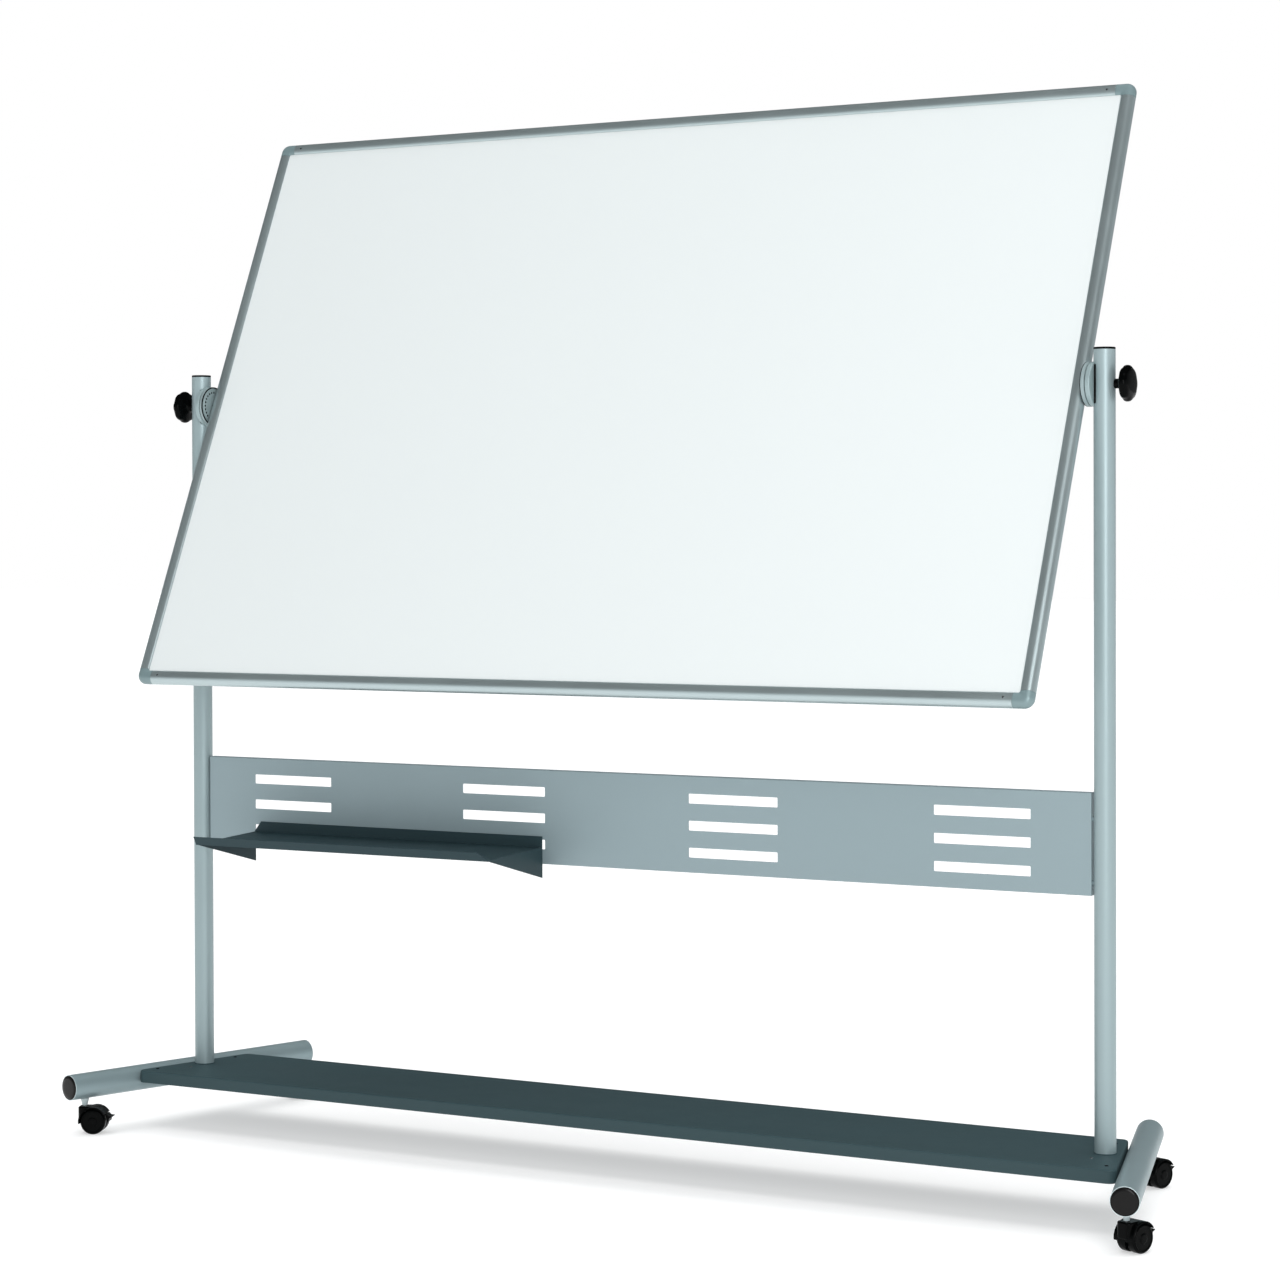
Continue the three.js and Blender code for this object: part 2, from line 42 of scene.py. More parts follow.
# ---------------------------------------------------------------- places, in millimetres
CY = -22.07                      # plane of the posts
PIVOT = Vector((0, CY, 1442))
TILT = math.radians(-24.2)
BOARD = Matrix.Translation(PIVOT * MM) @ Matrix.Rotation(TILT, 4, "X")
SPLAY = math.radians(16.35)
BW, BH = 938.0, 600.0            # half sizes of the board over its frame
CASTERS = {"left_front": (-1, -1, 24), "left_rear": (-1, 1, 50), "right_front": (1, -1, 69), "right_rear": (1, 1, 69)}


# ---------------------------------------------------------------- mesh helpers (millimetres in, metres out)
def make(name, verts, faces, matrix=None):
    me = bpy.data.meshes.new(name)
    me.from_pydata([(x * MM, y * MM, z * MM) for x, y, z in verts], [], faces)
    bm = bmesh.new()
    bm.from_mesh(me)
    bmesh.ops.remove_doubles(bm, verts=bm.verts, dist=1e-7)
    bmesh.ops.recalc_face_normals(bm, faces=bm.faces)
    bm.to_mesh(me)
    bm.free()
    me.validate()
    o = bpy.data.objects.new(name, me)
    scene.collection.objects.link(o)
    if matrix is not None:
        o.matrix_world = matrix
    return o


def apply_modifiers(o):
    dg = bpy.context.evaluated_depsgraph_get()
    me = bpy.data.meshes.new_from_object(o.evaluated_get(dg))
    o.modifiers.clear()
    old = o.data
    o.data = me
    bpy.data.meshes.remove(old)
    return o


def smooth(o, angle=38, weighted=True):
    """Smooth faces, with a crease where two faces meet at more than angle."""
    bm = bmesh.new()
    bm.from_mesh(o.data)
    lim = math.radians(angle)
    for f in bm.faces:
        f.smooth = True
    for e in bm.edges:
        e.smooth = not (len(e.link_faces) == 2 and e.calc_face_angle(0) > lim)
    bm.to_mesh(o.data)
    bm.free()
    if weighted:
        m = o.modifiers.new("wn", "WEIGHTED_NORMAL")
        m.keep_sharp = True
        m.weight = 60
        apply_modifiers(o)
    return o


def bevel(o, width, segments=2, angle=28):
    """Rounds every edge sharper than angle, width in millimetres."""
    m = o.modifiers.new("bevel", "BEVEL")
    m.width = width * MM
    m.segments = segments
    m.limit_method = "ANGLE"
    m.angle_limit = math.radians(angle)
    m.use_clamp_overlap = True
    m.miter_outer = "MITER_ARC"
    return apply_modifiers(o)


def dissolve(o, degrees=0.5):
    bm = bmesh.new()
    bm.from_mesh(o.data)
    bmesh.ops.dissolve_limit(bm, angle_limit=math.radians(degrees), verts=bm.verts, edges=bm.edges)
    bmesh.ops.recalc_face_normals(bm, faces=bm.faces)
    bm.to_mesh(o.data)
    bm.free()
    return o


def boolean(o, tools, op="DIFFERENCE"):
    for t in tools:
        m = o.modifiers.new("bool", "BOOLEAN")
        m.operation = op
        m.solver = "EXACT"
        m.object = t
        bpy.context.view_layer.update()
        apply_modifiers(o)
    for t in tools:
        me = t.data
        bpy.data.objects.remove(t)
        bpy.data.meshes.remove(me)
    return o


def lathe(name, profile, seg=96, axis="Z", matrix=None, closed=False):
    """Turns [radius, height] points about an axis. closed: the last point joins the first."""
    verts, rings = [], []
    for r, h in profile:
        if r < 1e-6:
            rings.append([len(verts)])
            verts.append((0, 0, h))
        else:
            rings.append(list(range(len(verts), len(verts) + seg)))
            verts += [(r * math.cos(2 * math.pi * i / seg), r * math.sin(2 * math.pi * i / seg), h) for i in range(seg)]
    faces = []
    pairs = list(zip(rings, rings[1:])) + ([(rings[-1], rings[0])] if closed else [])
    for a, b in pairs:
        if len(a) == 1 and len(b) == 1:
            continue
        for i in range(seg):
            j = (i + 1) % seg
            if len(a) == 1:
                faces.append((a[0], b[i], b[j]))
            elif len(b) == 1:
                faces.append((a[i], a[j], b[0]))
            else:
                faces.append((a[i], a[j], b[j], b[i]))
    if axis == "X":
        verts = [(z, x, y) for x, y, z in verts]
    elif axis == "Y":
        verts = [(y, z, x) for x, y, z in verts]
    return make(name, verts, faces, matrix)


def rounded(points, radii, n=4):
    """Rounds a closed polygon's corners. radii is one number, or one per corner."""
    out = []
    k = len(points)
    for i, p in enumerate(points):
        r = radii[i] if isinstance(radii, (list, tuple)) else radii
        P, A, B = Vector(p), Vector(points[i - 1]), Vector(points[(i + 1) % k])
        a, b = (A - P), (B - P)
        if r <= 0 or a.length < 1e-6 or b.length < 1e-6:
            out.append(tuple(P))
            continue
        la, lb = a.length, b.length
        a.normalize(); b.normalize()
        half = math.acos(max(-1, min(1, a.dot(b)))) / 2
        if half > math.radians(88):
            out.append(tuple(P))
            continue
        reach = min(r / math.tan(half), 0.49 * la, 0.49 * lb)
        rr = reach * math.tan(half)
        c = P + (a + b).normalized() * (rr / math.sin(half))
        s, e = P + a * reach - c, P + b * reach - c
        a0, a1 = math.atan2(s.y, s.x), math.atan2(e.y, e.x)
        da = (a1 - a0 + math.pi) % (2 * math.pi) - math.pi
        out += [(c.x + rr * math.cos(a0 + da * t / n), c.y + rr * math.sin(a0 + da * t / n)) for t in range(n + 1)]
    return out


def arc(cx, cy, r, a0, a1, n):
    return [(cx + r * math.cos(math.radians(a0 + (a1 - a0) * i / n)), cy + r * math.sin(math.radians(a0 + (a1 - a0) * i / n))) for i in range(n + 1)]


def extrude(name, outline, h0, h1, to3, matrix=None):
    """A polygon extruded from h0 to h1. to3 turns (a, b, h) into (x, y, z)."""
    n = len(outline)
    verts = [to3(a, b, h0) for a, b in outline] + [to3(a, b, h1) for a, b in outline]
    faces = [tuple(range(n)), tuple(range(2 * n - 1, n - 1, -1))]
    faces += [(i, (i + 1) % n, n + (i + 1) % n, n + i) for i in range(n)]
    return make(name, verts, faces, matrix)


def block(name, x0, x1, y0, y1, z0, z1, matrix=None):
    return extrude(name, [(x0, y0), (x1, y0), (x1, y1), (x0, y1)], z0, z1, lambda a, b, h: (a, b, h), matrix)


def join(objects, name):
    """One object from several, in the first one's frame."""
    base = objects[0]
    bm = bmesh.new()
    inv = base.matrix_world.inverted()
    for o in objects:
        me = o.data.copy()
        me.transform(inv @ o.matrix_world)
        bm.from_mesh(me)
        bpy.data.meshes.remove(me)
    bm.to_mesh(base.data)
    bm.free()
    for o in objects[1:]:
        me = o.data
        bpy.data.objects.remove(o)
        bpy.data.meshes.remove(me)
    base.name = name
    base.data.name = name
    return base


def copy_of(node, name):
    """A new mesh with a CAD node's own shape, its flat faces whole again."""
    o = bpy.data.objects.new(name, NODES[node].data.copy())
    scene.collection.objects.link(o)
    o.data.materials.clear()
    bm = bmesh.new()
    bm.from_mesh(o.data)
    bmesh.ops.remove_doubles(bm, verts=bm.verts, dist=2e-6)
    bmesh.ops.dissolve_limit(bm, angle_limit=math.radians(0.6), verts=bm.verts, edges=bm.edges)
    bmesh.ops.recalc_face_normals(bm, faces=bm.faces)
    bm.to_mesh(o.data)
    bm.free()
    for a in [a.name for a in o.data.attributes if a.name.startswith("custom_normal")]:
        o.data.attributes.remove(o.data.attributes[a])
    return o


def place(o, body, mat, nodes=()):
    o.data.materials.clear()
    o.data.materials.append(mat)
    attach(o, body)
    if nodes:
        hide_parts(*nodes)
    return o


# ---------------------------------------------------------------- materials
def srgb(r, g, b):
    def f(v):
        v /= 255
        return v / 12.92 if v <= 0.04045 else ((v + 0.055) / 1.055) ** 2.4
    return (f(r), f(g), f(b), 1)


def material(name, slot, base, vary=0.06, metallic=0.0, rough=0.4, rough_vary=0.08, specular=0.5, coat=0.0, coat_rough=0.1,
             grain=900, bump=0.03, stretch=None, cloud=6, dirt=0.0, edge=0.0, anisotropic=0.0, speck=0.0):
    """A painted, moulded or drawn surface: large soft colour variation, fine grain in colour, roughness and bump, and a
    slight change of tone where edges are rubbed."""
    m = bpy.data.materials.new(name)
    m["slot"] = slot
    m.use_nodes = True
    nt = m.node_tree
    N, L = nt.nodes, nt.links
    bsdf = next(n for n in N if n.type == "BSDF_PRINCIPLED")
    tc = N.new("ShaderNodeTexCoord")
    mp = N.new("ShaderNodeMapping")
    L.new(tc.outputs["Object"], mp.inputs["Vector"])
    if stretch:
        mp.inputs["Scale"].default_value = stretch
    big = N.new("ShaderNodeTexNoise")
    big.inputs["Scale"].default_value = cloud
    big.inputs["Detail"].default_value = 3
    L.new(tc.outputs["Object"], big.inputs["Vector"])
    fine = N.new("ShaderNodeTexNoise")
    fine.inputs["Scale"].default_value = grain
    fine.inputs["Detail"].default_value = 4
    fine.inputs["Roughness"].default_value = 0.6
    L.new(mp.outputs["Vector"], fine.inputs["Vector"])
    # colour: cloudy variation, then the grain
    dark = tuple(c * (1 - vary) for c in base[:3]) + (1,)
    light = tuple(min(1, c * (1 + vary)) for c in base[:3]) + (1,)
    ramp = N.new("ShaderNodeMix")
    ramp.data_type = "RGBA"
    ramp.inputs[6].default_value = dark
    ramp.inputs[7].default_value = light
    mixf = N.new("ShaderNodeMath")
    mixf.operation = "MULTIPLY_ADD"
    mixf.inputs[1].default_value = 0.45
    add = N.new("ShaderNodeMath")
    add.operation = "MULTIPLY"
    add.inputs[1].default_value = 0.55
    L.new(fine.outputs["Fac"], mixf.inputs[0])
    L.new(big.outputs["Fac"], add.inputs[0])
    L.new(add.outputs[0], mixf.inputs[2])
    L.new(mixf.outputs[0], ramp.inputs[0])
    colour = ramp.outputs[2]
    if speck:
        vor = N.new("ShaderNodeTexVoronoi")
        vor.inputs["Scale"].default_value = grain * 0.8
        L.new(tc.outputs["Object"], vor.inputs["Vector"])
        sr = N.new("ShaderNodeMapRange")
        sr.inputs["From Min"].default_value = 0.0
        sr.inputs["From Max"].default_value = 0.35
        sr.inputs["To Min"].default_value = speck
        sr.inputs["To Max"].default_value = 0.0
        L.new(vor.outputs["Distance"], sr.inputs["Value"])
        sm = N.new("ShaderNodeMix")
        sm.data_type = "RGBA"
        sm.inputs[7].default_value = tuple(min(1, c * 1.6 + 0.02) for c in base[:3]) + (1,)
        L.new(sr.outputs["Result"], sm.inputs[0])
        L.new(colour, sm.inputs[6])
        colour = sm.outputs[2]
    if edge:
        geo = N.new("ShaderNodeNewGeometry")
        er = N.new("ShaderNodeMapRange")
        er.inputs["From Min"].default_value = 0.52
        er.inputs["From Max"].default_value = 0.62
        er.inputs["To Min"].default_value = 0.0
        er.inputs["To Max"].default_value = edge
        L.new(geo.outputs["Pointiness"], er.inputs["Value"])
        em = N.new("ShaderNodeMix")
        em.data_type = "RGBA"
        em.inputs[7].default_value = tuple(min(1, c * 1.5 + 0.03) for c in base[:3]) + (1,)
        L.new(er.outputs["Result"], em.inputs[0])
        L.new(colour, em.inputs[6])
        colour = em.outputs[2]
    L.new(colour, bsdf.inputs["Base Color"])
    # roughness
    rr = N.new("ShaderNodeMapRange")
    rr.inputs["From Min"].default_value = 0.3
    rr.inputs["From Max"].default_value = 0.7
    rr.inputs["To Min"].default_value = max(0.02, rough - rough_vary)
    rr.inputs["To Max"].default_value = min(1.0, rough + rough_vary)
    L.new(mixf.outputs[0], rr.inputs["Value"])
    L.new(rr.outputs["Result"], bsdf.inputs["Roughness"])
    # bump
    if bump:
        bn = N.new("ShaderNodeBump")
        bn.inputs["Strength"].default_value = bump
        bn.inputs["Distance"].default_value = 0.0004
        L.new(fine.outputs["Fac"], bn.inputs["Height"])
        L.new(bn.outputs["Normal"], bsdf.inputs["Normal"])
    bsdf.inputs["Metallic"].default_value = metallic
    bsdf.inputs["Specular IOR Level"].default_value = specular
    bsdf.inputs["Coat Weight"].default_value = coat
    bsdf.inputs["Coat Roughness"].default_value = coat_rough
    bsdf.inputs["Anisotropic"].default_value = anisotropic
    return m


silver = material("silver powder coat", "silver_paint", srgb(152, 169, 172), vary=0.05, metallic=0.4, rough=0.40, grain=1100, bump=0.10, speck=0.10)
# a darker copy of the silver coat for the feet: painted shade
shaded_foot_silver = material("silver powder coat on the feet, darkened as painted shade", "silver_paint", srgb(138, 156, 160), vary=0.05, metallic=0.4, rough=0.42, grain=1100, bump=0.12, speck=0.10)
panel_paint = material("silver powder coat on sheet", "silver_paint", srgb(146, 163, 168), vary=0.04, metallic=0.4, rough=0.5, grain=1100, bump=0.12, speck=0.10)
slate = material("slate powder coat", "slate_paint", srgb(52, 71, 75), vary=0.07, metallic=0.0, rough=0.52, grain=1300, bump=0.15, specular=0.22, speck=0.05)
# a darker copy of the slate coat for the tray: painted shade
shaded_tray_slate = material("slate powder coat on the tray, darkened as painted shade", "slate_paint", srgb(41, 60, 65), vary=0.07, metallic=0.0, rough=0.5, grain=1300, bump=0.15, specular=0.2, speck=0.05)
alu_x = material("anodised aluminium along x", "aluminium_trim", srgb(180, 194, 196), vary=0.05, metallic=0.78, rough=0.36, grain=700, bump=0.02, stretch=(0.02, 1, 1), specular=0.2)
alu_z = material("anodised aluminium along z", "aluminium_trim", srgb(180, 194, 196), vary=0.05, metallic=0.78, rough=0.36, grain=700, bump=0.02, stretch=(1, 1, 0.02), specular=0.2)
disc_alu = material("cast clamp disc", "silver_paint", srgb(150, 168, 170), vary=0.05, metallic=0.3, rough=0.4, grain=900, bump=0.05)
disc_pale = material("machined face of the board disc", "aluminium_trim", srgb(146, 162, 164), vary=0.05, metallic=0.3, rough=0.45, grain=1100, bump=0.04)
enamel = material("white writing enamel", "white_enamel", srgb(211, 216, 216), vary=0.006, rough=0.2, rough_vary=0.05, grain=500, bump=0.004, cloud=3, specular=0.3)
grey = material("grey moulded plastic", "grey_plastic", srgb(122, 142, 145), vary=0.04, metallic=0.25, rough=0.36, grain=1500, bump=0.05)
black = material("black moulded plastic", "black_plastic", srgb(4, 5, 5), vary=0.15, rough=0.2, grain=1600, bump=0.04, specular=0.05)
wheel_black = material("black wheel plastic", "wheel_plastic", srgb(4, 5, 5), vary=0.2, rough=0.25, grain=1400, bump=0.05, specular=0.05)
cap_brown = material("brown-black end plug", "foot_cap_plastic", srgb(11, 10, 10), vary=0.1, rough=0.22, grain=1500, bump=0.03, specular=0.2)
# the black rubber also paints shade at the clamp discs: the saddle pad, the washer in the crevice and the ring round
# the board disc's rim
rubber = material("black rubber, and painted shade at the clamp discs", "black_plastic", srgb(10, 11, 12), vary=0.2, rough=0.7, grain=1800, bump=0.1, specular=0.05)
# a pale copy of the silver coat for the tubes' cut edges: painted highlight
cut_edge_highlight_paint = material("pale painted highlight on the tube's cut edge", "silver_paint", srgb(208, 222, 224), vary=0.05, metallic=0.2, rough=0.3, grain=1200, bump=0.04)
steel = material("bright zinc steel", "zinc_steel", srgb(168, 174, 177), vary=0.06, metallic=1.0, rough=0.26, grain=900, bump=0.03)
chipboard = material("chipboard", "chipboard", srgb(176, 148, 108), vary=0.25, rough=0.85, grain=260, bump=0.4, cloud=40)
socket_grey = material("pale socket plastic", "grey_plastic", srgb(176, 188, 190), vary=0.04, rough=0.4, grain=1500, bump=0.05)

# ---------------------------------------------------------------- posts
for side, s in (("left", -1), ("right", 1)):
    at = Matrix.Translation(Vector((s * 969.3, CY, 0)) * MM)
    R, z0, z1 = 19, 114.7, 1501.7
    post = lathe(f"{side}_post_tube", [(R - 1.5, z0 + 0.2), (R - 1.1, z0), (R - 0.3, z0), (R, z0 + 0.4), (R, z0 + 30), (R, 640), (R, 1200), (R, z1 - 0.5), (R - 0.3, z1), (R - 1.2, z1), (R - 1.5, z1 - 0.3)],
                 96, matrix=at, closed=True)
    place(smooth(post, 40), "stand", silver, nodes=[f"{side}_post"])
    cap = lathe(f"{side}_post_plug", [(0, 1491), (16.6, 1491), (17, 1491.6), (17, 1501.75), (17.2, 1501.8), (18.8, 1501.8), (19, 1502.0), (19, 1504.5), (18.85, 1505.0), (18.3, 1505.3), (15, 1505.42), (8, 1505.5), (0, 1505.5)], 72, matrix=at)
    place(smooth(cap, 32), "stand", rubber, nodes=[f"{side}_post_cap"])
    # the collar of sealant-dark gap where the post meets the base plate is the joint itself: a thin turned foot ring
    ring = lathe(f"{side}_post_foot_ring", [(19.05, 114.45), (20.6, 114.45), (20.7, 114.7), (20.2, 115.2), (19.4, 115.9), (19.05, 116.0)], 72, matrix=at, closed=True)
    place(smooth(ring, 30), "stand", slate)

# ---------------------------------------------------------------- clamp discs
def both(profile, s):
    return [(r, s * h) for r, h in profile]


for side, s in (("left", -1), ("right", 1)):
    at = Matrix.Translation(Vector((0, CY, 1442)) * MM)
    # post side: a dished disc, its back notched round the post, with the saddle sitting behind it
    prof = [(4.6, 947.4), (24, 947.4), (30, 947.4), (30.6, 946.9), (36.4, 946.85), (37.6, 947.2), (38.5, 948.0), (39, 949.2), (39, 954.4), (38.7, 955.4), (38.0, 956.0), (37.0, 956.2), (4.6, 956.2)]
    disc = lathe(f"{side}_post_disc_plate", both(prof, s), 112, axis="X", matrix=at, closed=True)
    tool = lathe("cut", [(0, 1300), (19.35, 1300), (19.35, 1600), (0, 1600)], 96, matrix=Matrix.Translation(Vector((s * 969.3, CY, 0)) * MM))
    boolean(disc, [tool])
    place(smooth(disc, 34), "stand", disc_alu, nodes=[f"{side}_post_disc"])
    # black saddle pad, straight sided, with a bolt hole; it is black so the gap beside the post reads dark: partly a
    # real pad, partly painted shade
    x0, x1 = sorted((s * 956.4, s * 959.95))
    arcs = arc(0, 0, 37.2, 62, 118, 12) + arc(0, 0, 37.2, 242, 298, 12)
    pad = extrude(f"{side}_post_saddle_pad_painted_shade", arcs, x0, x1, lambda a, b, h: (h, a, b), at)
    bevel(pad, 0.5, 2, 40)
    boolean(pad, [lathe("bolt", both([(0, 950), (4.7, 950), (4.7, 965), (0, 965)], s), 32, axis="X", matrix=at),
                  lathe("cut", [(0, 1300), (19.4, 1300), (19.4, 1600), (0, 1600)], 96, matrix=Matrix.Translation(Vector((s * 969.3, CY, 0)) * MM))])
    place(smooth(pad, 34), "stand", rubber)
    # washer between the two discs, black to paint the shade of the crevice between them: painted shade
    prof = [(12, 946.3), (36.8, 946.3), (37.0, 946.4), (37.0, 946.6), (36.8, 946.7), (12, 946.7)]
    washer = lathe(f"{side}_crevice_shade_washer", both(prof, s), 96, axis="X", matrix=at, closed=True)
    place(smooth(washer, 34), "stand", rubber)
    # board side: rim, a black ring at the rim that paints the dark shade line round the disc's edge, and a face with a
    # ring of sunk rivets
    prof = [(4.6, 939.1), (5.4, 938.35), (31.0, 938.35), (31.5, 939.0), (36.2, 939.0), (37.4, 939.1), (39, 939.9), (39, 944.0), (38.4, 945.0), (37.2, 945.9), (36.2, 946.15), (4.6, 946.15)]
    disc = lathe(f"{side}_board_disc_plate", both(prof, s), 112, axis="X", matrix=BOARD, closed=True)
    holes, rivets = [], []
    for i in range(24):
        t = 2 * math.pi * (i + 0.5) / 24
        m = BOARD @ Matrix.Translation(Vector((0, 27.8 * math.cos(t), 27.8 * math.sin(t))) * MM)
        holes.append(lathe("hole", both([(0, 937), (2.3, 937), (2.3, 939.9), (0, 939.9)], s), 16, axis="X", matrix=m))
        rivets.append(lathe("rivet", both([(0, 938.5), (1.5, 938.55), (2.0, 938.8), (2.15, 939.3), (2.15, 939.8), (0, 939.8)], s), 16, axis="X", matrix=m))
    boolean(disc, holes)
    place(smooth(disc, 34), "board", disc_pale, nodes=[f"{side}_board_disc"])
    place(smooth(join(rivets, f"{side}_board_disc_rivets"), 40), "board", rubber)
    # a black ring round the disc's rim: painted shade, the dark line along its edge
    prof = [(36.6, 938.32), (38.7, 938.35), (38.95, 938.6), (38.95, 939.6), (38.7, 939.55), (37.4, 938.95), (36.6, 938.9)]
    ring = lathe(f"{side}_board_disc_rim_shade_ring", both(prof, s), 112, axis="X", matrix=BOARD, closed=True)
    place(smooth(ring, 40), "board", rubber)

# ---------------------------------------------------------------- clamp knobs
for side, s in (("left", -1), ("right", 1)):
    at = Matrix.Translation(Vector((0, CY, 1442)) * MM)
    seg = 144
    lobes = 8

    def lobe(r, depth, i):
        return r - depth * (0.5 - 0.5 * math.cos(lobes * 2 * math.pi * i / seg)) ** 1.4

    # radius, height from the post, how deep the scallops are
    prof = [(4.4, 989.2, 0), (8.0, 988.8, 0), (8.5, 989.3, 0), (8.5, 994.3, 0), (9.3, 997.6, 0), (12.0, 1000.2, 0.1), (17.5, 1002.0, 0.4), (23.5, 1003.1, 0.6), (28.0, 1004.6, 1.1),
            (30.5, 1006.6, 1.5), (31.5, 1009.4, 1.7), (31.5, 1012.8, 1.7), (30.9, 1015.4, 1.6), (29.2, 1017.6, 1.3), (26.0, 1019.5, 0.8), (20.5, 1020.8, 0.4), (13, 1021.4, 0.1), (5, 1021.5, 0), (0, 1021.5, 0)]
    verts, faces = [], []
    for r, h, d in prof:
        if r == 0:
            verts.append((s * h, 0, 0))
        else:
            for i in range(seg):
                q, a = lobe(r, d, i), 2 * math.pi * i / seg
                verts.append((s * h, q * math.cos(a), q * math.sin(a)))
    for k in range(len(prof) - 2):
        for i in range(seg):
            j = (i + 1) % seg
            faces.append((k * seg + i, k * seg + j, (k + 1) * seg + j, (k + 1) * seg + i))
    last = (len(prof) - 2) * seg
    faces += [(last + i, last + (i + 1) % seg, len(verts) - 1) for i in range(seg)]
    # inner bore, closed at its end
    b0 = len(verts)
    for h in (989.2, 1012.4):
        verts += [(s * h, 4.4 * math.cos(2 * math.pi * i / seg), 4.4 * math.sin(2 * math.pi * i / seg)) for i in range(seg)]
    verts.append((s * 1012.4, 0, 0))
    for i in range(seg):
        j = (i + 1) % seg
        faces.append((b0 + i, b0 + j, b0 + seg + j, b0 + seg + i))
        faces.append((b0 + seg + i, b0 + seg + j, len(verts) - 1))
    knob = make(f"{side}_clamp_knob", verts, faces, at)
    place(smooth(knob, 35), f"{side}_clamp", black, nodes=[f"{side}_knob"])

# ---------------------------------------------------------------- cross panel
def slotted_panel(name):
    """Folded sheet: a face with three rows of four slots, and four edges turned back. Built on a grid, so it is all quads."""
    H, T, front, back = 947.1, 1.8, CY - 7.6, CY + 8.0
    z0, z1 = 558.4, 737.2
    slots = [(x - 92.25, x + 92.25, z - 18.2, z) for x in (-741.8, -248.8, 246.4, 741.8) for z in (704.5, 654.5, 604.6)]
    xs = sorted({-H, -H + T, H - T, H} | {v for sl in slots for v in sl[:2]})
    zs = sorted({z0, z0 + T, z1 - T, z1} | {v for sl in slots for v in sl[2:]})
    ys = [front, front + T, back]
    nx, nz = len(xs) - 1, len(zs) - 1

    def solid(i, j, k):
        if not (0 <= i < nx and 0 <= j < 2 and 0 <= k < nz):
            return False
        cx, cz = (xs[i] + xs[i + 1]) / 2, (zs[k] + zs[k + 1]) / 2
        if j == 1:
            return i in (0, nx - 1) or k in (0, nz - 1)
        return not any(a < cx < b and c < cz < d for a, b, c, d in slots)

    verts, index, faces = [], {}, []

    def v(i, j, k):
        if (i, j, k) not in index:
            index[i, j, k] = len(verts)
            verts.append((xs[i], ys[j], zs[k]))
        return index[i, j, k]

    for i in range(nx):
        for j in range(2):
            for k in range(nz):
                if not solid(i, j, k):
                    continue
                if not solid(i - 1, j, k):
                    faces.append((v(i, j, k), v(i, j, k + 1), v(i, j + 1, k + 1), v(i, j + 1, k)))
                if not solid(i + 1, j, k):
                    faces.append((v(i + 1, j, k), v(i + 1, j + 1, k), v(i + 1, j + 1, k + 1), v(i + 1, j, k + 1)))
                if not solid(i, j - 1, k):
                    faces.append((v(i, j, k), v(i + 1, j, k), v(i + 1, j, k + 1), v(i, j, k + 1)))
                if not solid(i, j + 1, k):
                    faces.append((v(i, j + 1, k), v(i, j + 1, k + 1), v(i + 1, j + 1, k + 1), v(i + 1, j + 1, k)))
                if not solid(i, j, k - 1):
                    faces.append((v(i, j, k), v(i, j + 1, k), v(i + 1, j + 1, k), v(i + 1, j, k)))
                if not solid(i, j, k + 1):
                    faces.append((v(i, j, k + 1), v(i + 1, j, k + 1), v(i + 1, j + 1, k + 1), v(i, j + 1, k + 1)))
    o = make(name, verts, faces)
    bm = bmesh.new()
    bm.from_mesh(o.data)
    e6 = 1e-6

    def on(vert, axis, values):
        return any(abs(vert.co[axis] - q * MM) < e6 for q in values)

    # slot corners, then the folded outer edges
    corner = [e for e in bm.edges if abs(e.verts[0].co.y - e.verts[1].co.y) > e6 and len(e.link_faces) == 2 and e.calc_face_angle(0) > 1
              and all(on(w, 1, ys[:2]) for w in e.verts) and any(all(on(w, 0, sl[:2]) and on(w, 2, sl[2:]) for w in e.verts) for sl in slots)]
    bmesh.ops.bevel(bm, geom=corner, offset=1.6 * MM, segments=3, affect="EDGES", profile=0.5, clamp_overlap=True)
    rim = [e for e in bm.edges if len(e.link_faces) == 2 and e.calc_face_angle(0) > 1
           and (all(on(w, 0, (-H,)) for w in e.verts) or all(on(w, 0, (H,)) for w in e.verts) or all(on(w, 2, (z0,)) for w in e.verts) or all(on(w, 2, (z1,)) for w in e.verts))
           and not all(on(w, 1, (back,)) for w in e.verts)]
    bmesh.ops.bevel(bm, geom=rim, offset=1.5 * MM, segments=4, affect="EDGES", profile=0.5, clamp_overlap=True)
    bm.to_mesh(o.data)
    bm.free()
    return o


panel = slotted_panel("slotted_panel")
bevel(panel, 0.35, 2, 40)
bosses = [panel]
for s in (-1, 1):
    for z in (691, 580.5):
        prof = [(0, 945.9), (4.8, 945.9), (4.8, 947.0), (4.8, 947.5), (4.4, 947.9), (4.0, 948.0), (4.0, 949.7), (3.8, 949.95), (0, 949.95)]
        bosses.append(lathe("boss", both(prof, s), 32, axis="X", matrix=Matrix.Translation(Vector((0, CY, z)) * MM)))
panel = join(bosses, "slotted_panel")
place(smooth(panel, 40), "stand", panel_paint, nodes=["cross_panel"])

# ---------------------------------------------------------------- tray
tray = copy_of("marker_tray", "hooked_tray")
bevel(tray, 0.3, 2, 25)
place(smooth(tray, 40), "tray", shaded_tray_slate, nodes=["marker_tray"])

# ---------------------------------------------------------------- base plate
def endx(y, gap):
    return 1027 - y * math.tan(SPLAY) - (25 + gap) / math.cos(SPLAY)


def plate_outline(inset):
    d = 132 - inset
    xf, xb = endx(-d, 0.3) - inset / math.cos(SPLAY), endx(d, 0.3) - inset / math.cos(SPLAY)
    return rounded([(-xf, -d), (xf, -d), (xb, d), (-xb, d)], 14 - inset, 12)


